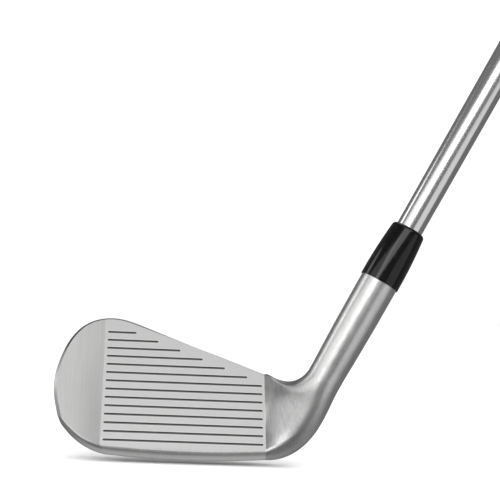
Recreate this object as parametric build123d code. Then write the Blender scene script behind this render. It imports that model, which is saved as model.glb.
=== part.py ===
"""Iron golf club: hollow steel head, bonded ferrule, stepped steel shaft and rubber grip.

The club stands at address. X runs from toe to heel, Y from the face to the back and Z up.
The origin is where the shaft's axis meets the ground. Sizes are in millimetres.
"""
import os
from math import atan2, cos, hypot, radians, sin, tan

from build123d import *

# Overall
LOFT = 33.0  # face angle from upright
LIE = 62.5  # shaft angle from the ground
CLUB_LENGTH = 940.0  # origin to the end of the grip, along the shaft

# Blade: x along the club, v up the face from the lowest score line, w back from the face
FACE_DATUM_Y = -2.0
FACE_DATUM_Z = 7.4
TOE_X = -77.5
FLAT_HEEL_X = -3.6
TOP_LINE_ANGLE = 22.7
TOP_LINE_HEEL_V = 28.3
TOP_LINE_WIDTH = 5.8
TOE_START_X = TOE_X + 29.0  # where the straight top line turns into the toe
TOE_PEAK_RISE = 2.3  # from there up to the toe's peak
TOE_FOOT_V = -6.05  # where the toe's outline ends, below the sole
FACE_STOCK = 0.15
TOE_BEVEL = 1.1
TOE_SPARE = 1.0
TOE_DRAFT = 5.5
TOE_DRAFT_DEPTH = 22.0
ENVELOPE_DROP = 70.0
ENVELOPE_RUN = 130.0
CLEAR = 5.0  # how far a cutting shape stands clear of the metal

# Sole
SOLE_LOW_X = -30.0
SOLE_ROCKER = 270.0
TOE_RISE_X = TOE_X + 20.5
TOE_RISE_RADIUS = 23.0
LEADING_CORNER_Z = 1.0
LEADING_RISE = 0.65
SOLE_CAMBER = 17.0
SOLE_BACK_Y = 15.5
SOLE_BACK_Z = 1.2
SOLE_HEEL_BACK_Y = 11.5
LEADING_ROUND = 5.0
TRAILING_ROUND = 4.0
TOP_FRONT_ROUND = 1.1
TOP_BACK_ROUND = 1.3

# Back of the blade
SHELF_DEPTH = 6.2
SHELF_V = 22.0
SHELF_TILT = 9.0
SHELF_STEP = 1.6
SHELF_END_X = 15.0
BACK_BEVEL = 1.2
BACK_BEVEL_INSET = 0.625

# Hosel, with distances up the shaft's axis from the origin
HOSEL_TOP = 73.5
HOSEL_NECK = 38.0
HOSEL_TOP_RADIUS = 6.75
HOSEL_NECK_RADIUS = 6.25
BORE_RADIUS = 4.95
BORE_DEPTH = 33.0
BORE_CHAMFER = 0.8
HEEL_TURN_END = 52.0
HEEL_SOFTENING = 3.0
HEEL_TOPS = (15.2, 17.6, 18.5)
HEEL_BOTTOMS = (41.3, 37.4, 32.9)

# Hollow head
PLATE_THICKNESS = 2.3
PLATE_MARGIN = 1.9
CAVITY_MARGIN = 4.6
BACK_WALL = 1.8
CAVITY_DEPTH = 10.0
CAVITY_STEP_LOW = 11.0
CAVITY_STEP_HIGH = 4.5
SOLE_WALL = 2.8
CAVITY_HEEL_X = -9.0
WEIGHT_LENGTH = 21.0
WEIGHT_HEIGHT = 11.0

# Score lines
LINE_COUNT = 14
SHORT_LINES = 6
LINE_PITCH = 3.3
LINE_WIDTH = 0.75
LINE_DEPTH = 0.4
LINE_TAPER = 22.0
LINE_HEEL_X = -4.5
LINE_TOE_X = -59.5
SHORT_LINE_STEP = 7.95
SHORT_LINE_FIRST_X = -49.4

# Port screw and sole slot
SCREW_RADIUS = 2.75
SCREW_LENGTH = 5.0
SCREW_RECESS = 2.0
SCREW_V = 18.0
SCREW_W = 6.4
SOCKET_SIZE = 2.0
SOCKET_DEPTH = 1.8
SLOT_LENGTH = 46.0
SLOT_WIDTH = 2.2
SLOT_CENTRE_X = -31.0
SLOT_BACK = 4.6
SLOT_RECESS = 0.3
SLOT_HEIGHT = 8.0

# Ferrule
FERRULE_LENGTH = 21.5
FERRULE_BASE_RADIUS = 7.15
FERRULE_TOP_RADIUS = 6.15
FERRULE_SHOULDER = 1.2
FERRULE_BULGE = 0.28
FERRULE_CLEARANCE = 0.05

# Shaft
TIP_RADIUS = 4.55
TIP_TAPER = 0.0082
TIP_SECTION_END = 250.0
BUTT_RADIUS = 7.62
STEP_COUNT = 15
STEP_SPACING = 31.0
STEP_RAMP = 0.8
SHAFT_WALL = 0.42
TIP_WALL = 0.9
TIP_WEIGHT_LENGTH = 22.0
TIP_WEIGHT_SET = 1.0
BAND_LENGTH = 62.0
BAND_THICKNESS = 0.12
BAND_GAP = 28.0

# Grip
GRIP_LENGTH = 266.0
TAPE_THICKNESS = 0.25
TAPE_SET = 2.0
GRIP_MOUTH_RADIUS = BUTT_RADIUS + 1.28
GRIP_MOUTH_LENGTH = 8.0
GRIP_LIP = 0.7
GRIP_WAIST = 0.7
GRIP_WAIST_SHARE = 0.62
GRIP_FLARE = 6.0
GRIP_BUTT_RADIUS = 13.2
CAP_RADIUS = 14.3
CAP_THICKNESS = 5.0
CAP_DOME = 1.4
CAP_BAND = 2.0
CAP_EDGE = 1.2
VENT_RADIUS = 1.5

SIN_LIE = sin(radians(LIE))
COS_LIE = cos(radians(LIE))
SIN_LOFT = sin(radians(LOFT))
COS_LOFT = cos(radians(LOFT))
SHAFT_AXIS = Axis((0, 0, 0), (COS_LIE, 0, SIN_LIE))
SHAFT_PLANE = Plane(origin=(0, 0, 0), x_dir=(SIN_LIE, 0, -COS_LIE), z_dir=(0, -1, 0))
FACE_PLANE = Plane(
    origin=(0, FACE_DATUM_Y, FACE_DATUM_Z), x_dir=(1, 0, 0), z_dir=(0, -COS_LOFT, SIN_LOFT)
)
TOP_LINE_SLOPE = tan(radians(TOP_LINE_ANGLE))
BLADE_ROUNDS = (LEADING_ROUND, TRAILING_ROUND, TOP_BACK_ROUND, TOP_FRONT_ROUND)
BLADE_CAMBER = (radians(SOLE_CAMBER) / 2, radians(2), radians(3), 0.0)

# The heel's sections all turn about one line above the crotch, from square to X at the end
# of the flat face to square to the shaft at the hosel's neck.
PIVOT_X = FLAT_HEEL_X
PIVOT_Z = (HOSEL_NECK - PIVOT_X * COS_LIE) / SIN_LIE
PIVOT_OFFSET = PIVOT_Z * COS_LIE - PIVOT_X * SIN_LIE


def on_face(v, w=0.0):
    """Y and Z of a point v up the face and w behind it."""
    y = FACE_DATUM_Y + v * SIN_LOFT + w * COS_LOFT
    z = FACE_DATUM_Z + v * COS_LOFT - w * SIN_LOFT
    return y, z


def smooth(t):
    """Ease from 0 to 1 with level ends."""
    t = min(max(t, 0.0), 1.0)
    return t * t * (3 - 2 * t)


def mix(a, b, t):
    """The value a share t of the way from a to b."""
    return a + (b - a) * t


def sole_rocker(x):
    """Rise of the sole along its long, even curve."""
    return (x - SOLE_LOW_X) ** 2 / (2 * SOLE_ROCKER)


def toe_rise(x):
    """Further rise of the sole where it rounds up into the toe."""
    run = min(max(0.0, TOE_RISE_X - x), TOE_RISE_RADIUS)
    return TOE_RISE_RADIUS - (TOE_RISE_RADIUS**2 - run**2) ** 0.5


def top_line_v(x):
    """Height of the top line on the face at x."""
    return TOP_LINE_HEEL_V + (FLAT_HEEL_X - x) * TOP_LINE_SLOPE


def leading_edge_v(x):
    """Height of the leading edge on the face at x."""
    z = LEADING_CORNER_Z + LEADING_RISE * sole_rocker(x) + toe_rise(x)
    return (z - FACE_DATUM_Z) / COS_LOFT


def blade_corners(x):
    """Corners of the blade's section at x in Y and Z: leading, trailing, top back, top front."""
    lift = sole_rocker(x) + toe_rise(x)
    heel = smooth((x - SOLE_LOW_X) / (FLAT_HEEL_X - SOLE_LOW_X))
    trailing = (mix(SOLE_BACK_Y, SOLE_HEEL_BACK_Y, heel), SOLE_BACK_Z + lift)
    top = top_line_v(x)
    return [
        on_face(leading_edge_v(x), -FACE_STOCK),
        trailing,
        on_face(top, TOP_LINE_WIDTH),
        on_face(top, -FACE_STOCK),
    ]


def unit(a, b):
    """Unit vector from a to b in the plane."""
    length = hypot(b[0] - a[0], b[1] - a[1])
    return (b[0] - a[0]) / length, (b[1] - a[1]) / length


def turned(direction, angle):
    """A plane vector turned anticlockwise by an angle in radians."""
    y, z = direction
    return y * cos(angle) - z * sin(angle), y * sin(angle) + z * cos(angle)


def rounded_quad(corners, rounds, camber):
    """Places and directions where the sides of a section meet its rounded corners."""
    nodes = []
    for i, here in enumerate(corners):
        back = unit(corners[i - 1], here)
        ahead = unit(here, corners[(i + 1) % 4])
        lean_back = camber[i - 1]
        lean_ahead = camber[i]
        reach = rounds[i]
        start = (here[0] - back[0] * reach, here[1] - back[1] * reach)
        end = (here[0] + ahead[0] * reach, here[1] + ahead[1] * reach)
        nodes.append((start, turned(back, lean_back)))
        nodes.append((end, turned(ahead, -lean_ahead)))
    return nodes


def oval(half_width, half_height, centre_height):
    """An ellipse's places and directions in the order that rounded_quad gives them."""
    nodes = []
    for corner in (225, 315, 405, 495):
        for turn in (-22.5, 22.5):
            angle = radians(corner + turn)
            place = (half_width * cos(angle), centre_height + half_height * sin(angle))
            heading = (-half_width * sin(angle), half_height * cos(angle))
            nodes.append((place, unit((0, 0), heading)))
    return nodes


def section_face(plane, nodes):
    """A planar face inside smooth arcs that join the nodes."""
    arcs = []
    for i, (start, leave) in enumerate(nodes):
        end, arrive = nodes[(i + 1) % len(nodes)]
        chord = hypot(end[0] - start[0], end[1] - start[1])
        turn = abs(atan2(leave[0] * arrive[1] - leave[1] * arrive[0],
                         leave[0] * arrive[0] + leave[1] * arrive[1]))
        handle = chord / (3 * cos(turn / 4) ** 2)
        flat = (
            start,
            (start[0] + leave[0] * handle, start[1] + leave[1] * handle),
            (end[0] - arrive[0] * handle, end[1] - arrive[1] * handle),
            end,
        )
        arcs.append(Bezier(*[plane.from_local_coords((y, z, 0)) for y, z in flat]))
    return Face(Wire([edge for arc in arcs for edge in arc.edges()]))


def blade_section(x):
    """The blade's section square to X at x."""
    plane = Plane(origin=(x, 0, 0), x_dir=(0, 1, 0), z_dir=(1, 0, 0))
    return section_face(plane, rounded_quad(blade_corners(x), BLADE_ROUNDS, BLADE_CAMBER))


def turned_corner(index, turn):
    """Where one corner line of the blade, carried on past its heel, meets a turned section."""
    x = PIVOT_X
    for _ in range(6):
        y, z = blade_corners(x)[index]
        x = PIVOT_X + (PIVOT_Z - z) * tan(radians(turn))
    return y, (z - PIVOT_Z) / cos(radians(turn))


def turned_plane(turn):
    """The plane through the pivot line, turned up from square to X."""
    return Plane(
        origin=(PIVOT_X, 0, PIVOT_Z),
        x_dir=(0, 1, 0),
        z_dir=(cos(radians(turn)), 0, sin(radians(turn))),
    )


def barrel_section(turn):
    """The hosel's straight barrel cut by a turned plane, as places and directions."""
    lean = cos(radians(LIE - turn))
    return oval(HOSEL_NECK_RADIUS, HOSEL_NECK_RADIUS / lean, -PIVOT_OFFSET / lean)


def heel_section(turn, top, bottom):
    """The heel's section on a turned plane, between a top and a bottom below the pivot line.

    It takes on the barrel's shape early in its turn, which hollows the front of the heel.
    """
    share = 1 - (1 - turn / HEEL_TURN_END) ** 2
    rounds = [r + HEEL_SOFTENING * share for r in BLADE_ROUNDS]
    quad = rounded_quad([turned_corner(i, turn) for i in range(4)], rounds, BLADE_CAMBER)
    mixed = []
    for (a, leave_a), (b, leave_b) in zip(quad, barrel_section(turn)):
        place = (mix(a[0], b[0], share), mix(a[1], b[1], share))
        heading = (mix(leave_a[0], leave_b[0], share), mix(leave_a[1], leave_b[1], share))
        mixed.append((place, heading))
    high = max(place[1] for place, _ in mixed)
    low = min(place[1] for place, _ in mixed)
    scale = (bottom - top) / (high - low)
    nodes = []
    for (y, z), heading in mixed:
        nodes.append(((y, (z - high) * scale - top), unit((0, 0), (heading[0], heading[1] * scale))))
    return section_face(turned_plane(turn), nodes)


def hosel_section(distance, radius):
    """The hosel's round section square to the shaft."""
    plane = Plane(
        origin=(distance * COS_LIE, 0, distance * SIN_LIE),
        x_dir=(0, 1, 0),
        z_dir=(COS_LIE, 0, SIN_LIE),
    )
    return section_face(plane, oval(radius, radius, 0))


def blade_form():
    """The blade as one form from beyond the toe to the heel end of its flat face."""
    beyond = TOE_X - TOE_SPARE
    toe = loft([blade_section(mix(beyond, TOE_RISE_X, share)) for share in (0, 0.2, 0.4, 0.7, 1)])
    blade = loft([blade_section(mix(TOE_RISE_X, FLAT_HEEL_X, share)) for share in (0, 0.5, 1)])
    return toe + blade


def neck_form():
    """The heel and the hosel, from the end of the flat face up to the ferrule."""
    barrel = [section_face(turned_plane(t), barrel_section(t)) for t in (HEEL_TURN_END, LIE)]
    sections = [blade_section(FLAT_HEEL_X)]
    for i, (top, bottom) in enumerate(zip(HEEL_TOPS, HEEL_BOTTOMS), start=1):
        sections.append(heel_section(HEEL_TURN_END * i / (len(HEEL_TOPS) + 1), top, bottom))
    heel = loft(sections + barrel[:1])
    hosel = []
    for share, swell in ((0, 0), (0.45, 0.7), (1, 1)):
        distance = mix(HOSEL_NECK, HOSEL_TOP, share)
        hosel.append(hosel_section(distance, mix(HOSEL_NECK_RADIUS, HOSEL_TOP_RADIUS, swell)))
    return heel + loft(barrel, ruled=True) + loft(hosel)


def toe_edge(inset):
    """The toe's outline on the face, from the top line round to below the sole, moved inwards."""
    start = top_line_v(TOE_START_X)
    peak = start + TOE_PEAK_RISE
    height = peak - TOE_FOOT_V
    points = [
        (TOE_START_X, start),
        (TOE_X + 18.8, peak),
        (TOE_X + 11.4, peak - 0.038 * height),
        (TOE_X + 5.8, peak - 0.139 * height),
        (TOE_X + 1.8, peak - 0.305 * height),
        (TOE_X, peak - 0.516 * height),
        (TOE_X + 1.6, peak - 0.693 * height),
        (TOE_X + 6.0, peak - 0.852 * height),
        (TOE_X + 11.6, peak - 0.939 * height),
        (TOE_X + 18.5, TOE_FOOT_V),
    ]
    directions = [(-1, TOP_LINE_SLOPE), (1, -0.25)]
    edge = Spline(*points, tangents=directions)
    if inset == 0:
        return edge
    moved = []
    for point in points:
        along = edge.tangent_at(edge.param_at_point(point))
        moved.append((point[0] - along.Y * inset, point[1] + along.X * inset))
    return Spline(*moved, tangents=directions)


def envelope_outline(w, inset):
    """A closed outline w behind the face, with the toe's edge on one side and open space round it."""
    edge = toe_edge(inset)
    start = edge @ 0
    end = edge @ 1
    rest = Polyline(
        end,
        (end.X, end.Y - ENVELOPE_DROP),
        (end.X + ENVELOPE_RUN, end.Y - ENVELOPE_DROP),
        (end.X + ENVELOPE_RUN, start.Y + ENVELOPE_DROP),
        (FLAT_HEEL_X, start.Y + ENVELOPE_DROP),
        (FLAT_HEEL_X, TOP_LINE_HEEL_V),
        start,
    )
    outline = make_face(Wire(edge.edges() + rest.edges()))
    return FACE_PLANE * Pos(0, 0, -w) * outline


def toe_envelope():
    """The space inside the toe's edge, with the face's bevel and a draft towards the back."""
    bevel = loft([envelope_outline(-1.0, TOE_BEVEL + 1.0), envelope_outline(TOE_BEVEL, 0)], ruled=True)
    draft = envelope_outline(TOE_DRAFT_DEPTH, TOE_DRAFT)
    wall = loft([envelope_outline(TOE_BEVEL, 0), draft], ruled=True)
    return bevel + wall


def prism_on_face(sketch, front, back):
    """A sketch on the face pushed through from front to back, both measured behind the face."""
    block = extrude(sketch, amount=back - front)
    return FACE_PLANE * Pos(0, 0, -back) * block


def side_prism(points, start, end):
    """A prism along X from its outline in v and w, placed relative to the face."""
    outline = make_face(Polyline(*[(v, -w) for v, w in points], close=True))
    return Pos(start, 0, 0) * extrude(Plane.YZ * outline, amount=end - start)


def outer_form():
    """The head's outside: the flat milled on the face, the toe trimmed and the back stepped."""
    blade = blade_form() & toe_envelope()
    width = FLAT_HEEL_X - TOE_X + CLEAR
    mill = Pos(FLAT_HEEL_X - width / 2, 0) * Rectangle(width, 2 * ENVELOPE_DROP)
    form = blade - prism_on_face(mill, -ENVELOPE_DROP / 2, 0) + neck_form()
    rim = loft(
        [
            envelope_outline(SHELF_DEPTH - BACK_BEVEL, BACK_BEVEL_INSET),
            envelope_outline(SHELF_DEPTH + BACK_BEVEL, BACK_BEVEL_INSET + 2 * BACK_BEVEL),
        ],
        ruled=True,
    )
    return form - shelf_cutter(SHELF_DEPTH) - (shelf_cutter(SHELF_DEPTH - BACK_BEVEL) - rim)


def shelf_cutter(depth):
    """The space behind the upper back wall, down to the muscle's sloping step."""
    reach = SHELF_DEPTH + SHELF_STEP * 9
    shelf = side_prism(
        [
            (ENVELOPE_DROP, depth),
            (SHELF_STEP, depth),
            (-SHELF_STEP, depth + SHELF_STEP * 3),
            (-SHELF_STEP * 1.6, reach),
            (ENVELOPE_DROP, reach),
        ],
        TOE_X - CLEAR,
        SHELF_END_X,
    )
    return FACE_PLANE * Pos(0, SHELF_V, 0) * Rot(0, 0, -SHELF_TILT) * shelf


def plate_outline(margin):
    """The flat face's outline, drawn in by a margin except along its straight heel edge."""
    heel = FLAT_HEEL_X
    toe = toe_edge(margin)
    low = leading_flat_v(heel) + margin * 0.4
    drop = margin / cos(radians(TOP_LINE_ANGLE))
    keep = make_face(
        Polyline(
            (heel, low),
            (heel, top_line_v(heel) - drop),
            (TOE_START_X, top_line_v(TOE_START_X) - drop),
            (TOE_START_X, ENVELOPE_DROP),
            (TOE_X - CLEAR, ENVELOPE_DROP),
            (TOE_X - CLEAR, low),
            close=True,
        )
    )
    start = toe @ 0
    end = toe @ 1
    inside = make_face(
        Wire(
            toe.edges()
            + Polyline(
                end,
                (end.X + ENVELOPE_RUN, end.Y),
                (end.X + ENVELOPE_RUN, start.Y - ENVELOPE_RUN * TOP_LINE_SLOPE),
                start,
            ).edges()
        )
    )
    return keep & inside


def leading_flat_v(x):
    """Where the flat of the face ends above the leading edge at x."""
    return leading_edge_v(x) + LEADING_ROUND


def cavity_space():
    """The hollow between the plate and the back wall."""
    inner = SHELF_DEPTH - BACK_WALL
    low = -ENVELOPE_DROP
    wedge = side_prism(
        [
            (ENVELOPE_DROP, PLATE_THICKNESS),
            (low, PLATE_THICKNESS),
            (low, CAVITY_DEPTH),
            (SHELF_V - CAVITY_STEP_LOW, CAVITY_DEPTH),
            (SHELF_V - CAVITY_STEP_HIGH, inner),
            (ENVELOPE_DROP, inner),
        ],
        TOE_X,
        CAVITY_HEEL_X,
    )
    inside = prism_on_face(plate_outline(CAVITY_MARGIN), 0, 2 * CAVITY_DEPTH)
    return FACE_PLANE * wedge & inside & Pos(0, 0, SOLE_WALL) * blade_form()


def score_lines():
    """Fourteen lines with round ends, the upper ones cut short below the top line."""
    lines = []
    for i in range(LINE_COUNT):
        from_top = LINE_COUNT - 1 - i
        heel = LINE_HEEL_X
        if from_top < SHORT_LINES:
            heel = SHORT_LINE_FIRST_X + from_top * SHORT_LINE_STEP
        length = heel - LINE_TOE_X
        slot = SlotOverall(length, LINE_WIDTH)
        lines.append(Pos((heel + LINE_TOE_X) / 2, i * LINE_PITCH) * slot)
    cutters = [extrude(line, amount=-LINE_DEPTH, taper=LINE_TAPER) for line in lines]
    return FACE_PLANE * Part(children=cutters)


def shaft_radius(distance):
    """The shaft's outside radius in its tapered tip section."""
    return TIP_RADIUS + TIP_TAPER / 2 * (distance - (HOSEL_TOP - BORE_DEPTH))


def turned_part(outline):
    """A ring from its outline, given as radius and distance up the shaft's axis."""
    return revolve(SHAFT_PLANE * make_face(Polyline(*outline, close=True)), axis=SHAFT_AXIS)


def hosel_bore():
    """The blind bore that takes the shaft's tip."""
    bottom = HOSEL_TOP - BORE_DEPTH
    mouth = BORE_RADIUS + BORE_CHAMFER
    return turned_part(
        [
            (0, bottom),
            (BORE_RADIUS, bottom),
            (BORE_RADIUS, HOSEL_TOP - BORE_CHAMFER),
            (mouth, HOSEL_TOP),
            (mouth, HOSEL_TOP + CLEAR),
            (0, HOSEL_TOP + CLEAR),
        ]
    )


def port_screw():
    """The toe's port screw with its hexagon socket, and the hole that it fills."""
    y, z = on_face(SCREW_V, SCREW_W)
    head = Plane(origin=(TOE_X + SCREW_RECESS, y, z), x_dir=(0, 1, 0), z_dir=(1, 0, 0))
    body = extrude(head * Circle(SCREW_RADIUS), amount=SCREW_LENGTH)
    socket = extrude(head * RegularPolygon(SOCKET_SIZE / 2, 6), amount=SOCKET_DEPTH)
    room = Plane(origin=(TOE_X - CLEAR, y, z), x_dir=(0, 1, 0), z_dir=(1, 0, 0))
    hole = extrude(room * Circle(SCREW_RADIUS), amount=SCREW_LENGTH + CLEAR + SCREW_RECESS)
    return body - socket, hole


def sole_slot():
    """The slot through the sole behind the leading edge."""
    slot = Pos(SLOT_CENTRE_X, SLOT_BACK - SLOT_WIDTH / 2, 0) * SlotOverall(SLOT_LENGTH, SLOT_WIDTH)
    return extrude(Pos(0, 0, -CLEAR) * slot, amount=SLOT_HEIGHT + CLEAR)


def ferrule():
    """The collar that carries the line of the hosel down to the shaft."""
    top = HOSEL_TOP + FERRULE_LENGTH
    shoulder = top - FERRULE_SHOULDER
    bore_low = shaft_radius(HOSEL_TOP) + FERRULE_CLEARANCE
    bore_high = shaft_radius(top) + FERRULE_CLEARANCE
    middle = (
        mix(FERRULE_BASE_RADIUS, FERRULE_TOP_RADIUS, 0.5) + FERRULE_BULGE,
        mix(HOSEL_TOP, shoulder, 0.5),
    )
    side = ThreePointArc(
        (FERRULE_BASE_RADIUS, HOSEL_TOP), middle, (FERRULE_TOP_RADIUS, shoulder)
    )
    crown = ThreePointArc(
        (FERRULE_TOP_RADIUS, shoulder),
        (FERRULE_TOP_RADIUS - FERRULE_SHOULDER * 0.32, top - FERRULE_SHOULDER * 0.3),
        (FERRULE_TOP_RADIUS - FERRULE_SHOULDER, top),
    )
    rest = Polyline(
        (FERRULE_TOP_RADIUS - FERRULE_SHOULDER, top),
        (bore_high, top),
        (bore_low, HOSEL_TOP),
        (FERRULE_BASE_RADIUS, HOSEL_TOP),
    )
    outline = make_face(Wire(side.edges() + crown.edges() + rest.edges()))
    return revolve(SHAFT_PLANE * outline, axis=SHAFT_AXIS)


def shaft_outline():
    """Radius and distance along the outside of the shaft, from tip to butt."""
    tip = HOSEL_TOP - BORE_DEPTH
    points = [(TIP_RADIUS, tip), (shaft_radius(TIP_SECTION_END), TIP_SECTION_END)]
    rise = (BUTT_RADIUS - shaft_radius(TIP_SECTION_END)) / STEP_COUNT
    for i in range(STEP_COUNT):
        place = TIP_SECTION_END + i * STEP_SPACING
        radius = shaft_radius(TIP_SECTION_END) + i * rise
        points.append((radius, place + 0.01))
        points.append((radius + rise, place + STEP_RAMP))
    points.append((BUTT_RADIUS, shaft_end()))
    return points


def shaft_end():
    """Where the shaft stops under the grip's cap."""
    return CLUB_LENGTH - CAP_THICKNESS


def shaft():
    """The stepped steel tube."""
    outside = shaft_outline()
    tip = HOSEL_TOP - BORE_DEPTH
    bore = [
        (BUTT_RADIUS - SHAFT_WALL, shaft_end()),
        (BUTT_RADIUS - SHAFT_WALL, TIP_SECTION_END + STEP_COUNT * STEP_SPACING),
        (shaft_radius(TIP_SECTION_END) - SHAFT_WALL, TIP_SECTION_END),
        (TIP_RADIUS - TIP_WALL, tip),
    ]
    return turned_part(outside + bore)


def sleeve(inner_low, inner_high, outer_low, outer_high, start, end):
    """A plain tapered sleeve on the shaft's axis."""
    return turned_part([(inner_low, start), (outer_low, start), (outer_high, end), (inner_high, end)])


def hosel_bond():
    """The epoxy between the shaft's tip and the hosel's bore."""
    start = HOSEL_TOP - BORE_DEPTH
    end = HOSEL_TOP - BORE_CHAMFER
    return sleeve(shaft_radius(start), shaft_radius(end), BORE_RADIUS, BORE_RADIUS, start, end)


def tip_weight():
    """The swing-weight pin glued into the shaft's tip."""
    start = HOSEL_TOP - BORE_DEPTH + TIP_WEIGHT_SET
    radius = TIP_RADIUS - TIP_WALL
    end = start + TIP_WEIGHT_LENGTH
    return turned_part([(0, start), (radius, start), (radius, end), (0, end)])


def grip_start():
    """The grip's mouth, up the shaft."""
    return CLUB_LENGTH - GRIP_LENGTH


def shaft_band():
    """The foil band below the grip."""
    end = grip_start() - BAND_GAP
    return sleeve(
        BUTT_RADIUS, BUTT_RADIUS, BUTT_RADIUS + BAND_THICKNESS, BUTT_RADIUS + BAND_THICKNESS,
        end - BAND_LENGTH, end,
    )


def grip_tape():
    """The double-sided tape under the grip."""
    outer = BUTT_RADIUS + TAPE_THICKNESS
    return sleeve(BUTT_RADIUS, BUTT_RADIUS, outer, outer, grip_start() + TAPE_SET, shaft_end())


def grip():
    """The rubber sleeve, thin at its mouth and thick under the upper hand."""
    inner = BUTT_RADIUS + TAPE_THICKNESS
    start = grip_start()
    end = shaft_end()
    waist = mix(GRIP_MOUTH_RADIUS, GRIP_BUTT_RADIUS, GRIP_WAIST_SHARE)
    return turned_part(
        [
            (inner, start),
            (GRIP_MOUTH_RADIUS - GRIP_LIP, start),
            (GRIP_MOUTH_RADIUS, start + GRIP_MOUTH_LENGTH),
            (waist, mix(start, end, GRIP_WAIST)),
            (GRIP_BUTT_RADIUS, end - GRIP_FLARE),
            (CAP_RADIUS, end - CAP_BAND),
            (CAP_RADIUS, end),
            (inner, end),
        ]
    )


def grip_cap():
    """The domed end cap with its vent hole."""
    start = shaft_end()
    rim = CLUB_LENGTH - CAP_DOME
    outline = [
        (VENT_RADIUS, start),
        (CAP_RADIUS, start),
        (CAP_RADIUS, start + CAP_EDGE),
        (CAP_RADIUS - CAP_EDGE, rim),
        (CAP_RADIUS / 2, CLUB_LENGTH - CAP_DOME / 5),
        (CAP_RADIUS / 4, CLUB_LENGTH),
        (VENT_RADIUS, CLUB_LENGTH),
    ]
    return turned_part(outline)


def build_head():
    """The head's steel shell, plate, weight, core, screw and slot seal."""
    outer = outer_form()
    cavity = cavity_space()
    plate_block = prism_on_face(plate_outline(PLATE_MARGIN), -1.0, PLATE_THICKNESS)
    screw, screw_hole = port_screw()
    slot = sole_slot()
    shell = outer - cavity - plate_block - hosel_bore() - screw_hole - slot
    plate = (outer & plate_block) - score_lines()
    seal = (outer & slot & Pos(0, 0, SLOT_RECESS) * outer) - cavity
    toe_end = cavity.bounding_box().min.X
    low = cavity.bounding_box().min.Z
    block = Pos(toe_end + WEIGHT_LENGTH / 2, 0, low) * Box(
        WEIGHT_LENGTH, 2 * ENVELOPE_DROP, WEIGHT_HEIGHT, align=(Align.CENTER, Align.CENTER, Align.MIN)
    )
    weight = cavity & block
    core = cavity - block - screw_hole
    return {
        "head_body": shell,
        "face_plate": plate,
        "toe_weight": weight,
        "foam_core": core,
        "port_screw": screw,
        "sole_slot_insert": seal,
    }


def main():
    """Build every piece and write it to its own file."""
    os.makedirs("parts", exist_ok=True)
    pieces = build_head()
    pieces["hosel_bond"] = hosel_bond()
    pieces["ferrule"] = ferrule()
    pieces["shaft"] = shaft()
    pieces["tip_weight"] = tip_weight()
    pieces["shaft_band"] = shaft_band()
    pieces["grip_tape"] = grip_tape()
    pieces["grip"] = grip()
    pieces["grip_cap"] = grip_cap()
    for name, piece in pieces.items():
        export_step(piece, f"parts/{name}.step")


if __name__ == "__main__":
    main()
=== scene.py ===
"""The looks of an iron golf club: satin and blasted steel, black ferrule, chromed shaft, rubber grip.

Everything is in metres in the club's own frame: X from toe to heel, Y from the face to the back,
Z up, with the origin where the shaft's axis meets the ground.
"""
import logging
import math
from collections.abc import Callable
from dataclasses import dataclass, field
from enum import Enum

import bmesh
import bpy
from mathutils import Matrix, Vector


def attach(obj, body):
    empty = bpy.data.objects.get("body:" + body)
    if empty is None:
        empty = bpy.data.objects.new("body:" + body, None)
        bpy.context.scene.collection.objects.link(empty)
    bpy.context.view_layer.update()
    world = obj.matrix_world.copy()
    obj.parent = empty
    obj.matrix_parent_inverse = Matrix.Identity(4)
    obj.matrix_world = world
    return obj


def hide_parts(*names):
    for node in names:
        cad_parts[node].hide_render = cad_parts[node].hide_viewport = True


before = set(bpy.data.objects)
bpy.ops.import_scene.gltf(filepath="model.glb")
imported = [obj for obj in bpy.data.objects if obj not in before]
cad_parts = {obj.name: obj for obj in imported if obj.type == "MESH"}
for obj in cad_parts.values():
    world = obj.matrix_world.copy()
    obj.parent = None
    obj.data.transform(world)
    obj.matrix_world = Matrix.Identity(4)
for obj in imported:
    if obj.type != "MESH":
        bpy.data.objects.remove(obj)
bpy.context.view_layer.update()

LOG = logging.getLogger("iron")
MM = 0.001
PER_MM = 1000.0
ROUNDING = 0.001  # keeps a face on the seam in its own cell
MERGE = MM / 100  # vertices nearer than this become one
SHARP = math.radians(40.0)  # edges that turn more than this stay sharp

LOFT = math.radians(33.0)
LIE = math.radians(62.5)
FACE_DATUM = Vector((0.0, -2.0, 7.4))  # millimetres, on the face at the lowest score line
UP_THE_SHAFT = (0.0, LIE - math.pi / 2, 0.0)

Socket = bpy.types.NodeSocket
Number = float | Socket
Colour = tuple[float, float, float]
Span = tuple[float, float]


class Slot(Enum):
    """Material slots of the club's record, kept with the modelled pieces but not given to their meshes."""

    SHAFT = "shaft_chrome"
    GRIP = "grip_rubber"
    CAP = "cap_rubber"


class Grain(Enum):
    """Which way a brushed finish runs."""

    UP_FACE = "up the face"
    UP_SHAFT = "along the shaft"
    ALONG_SOLE = "from toe to heel"


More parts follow.
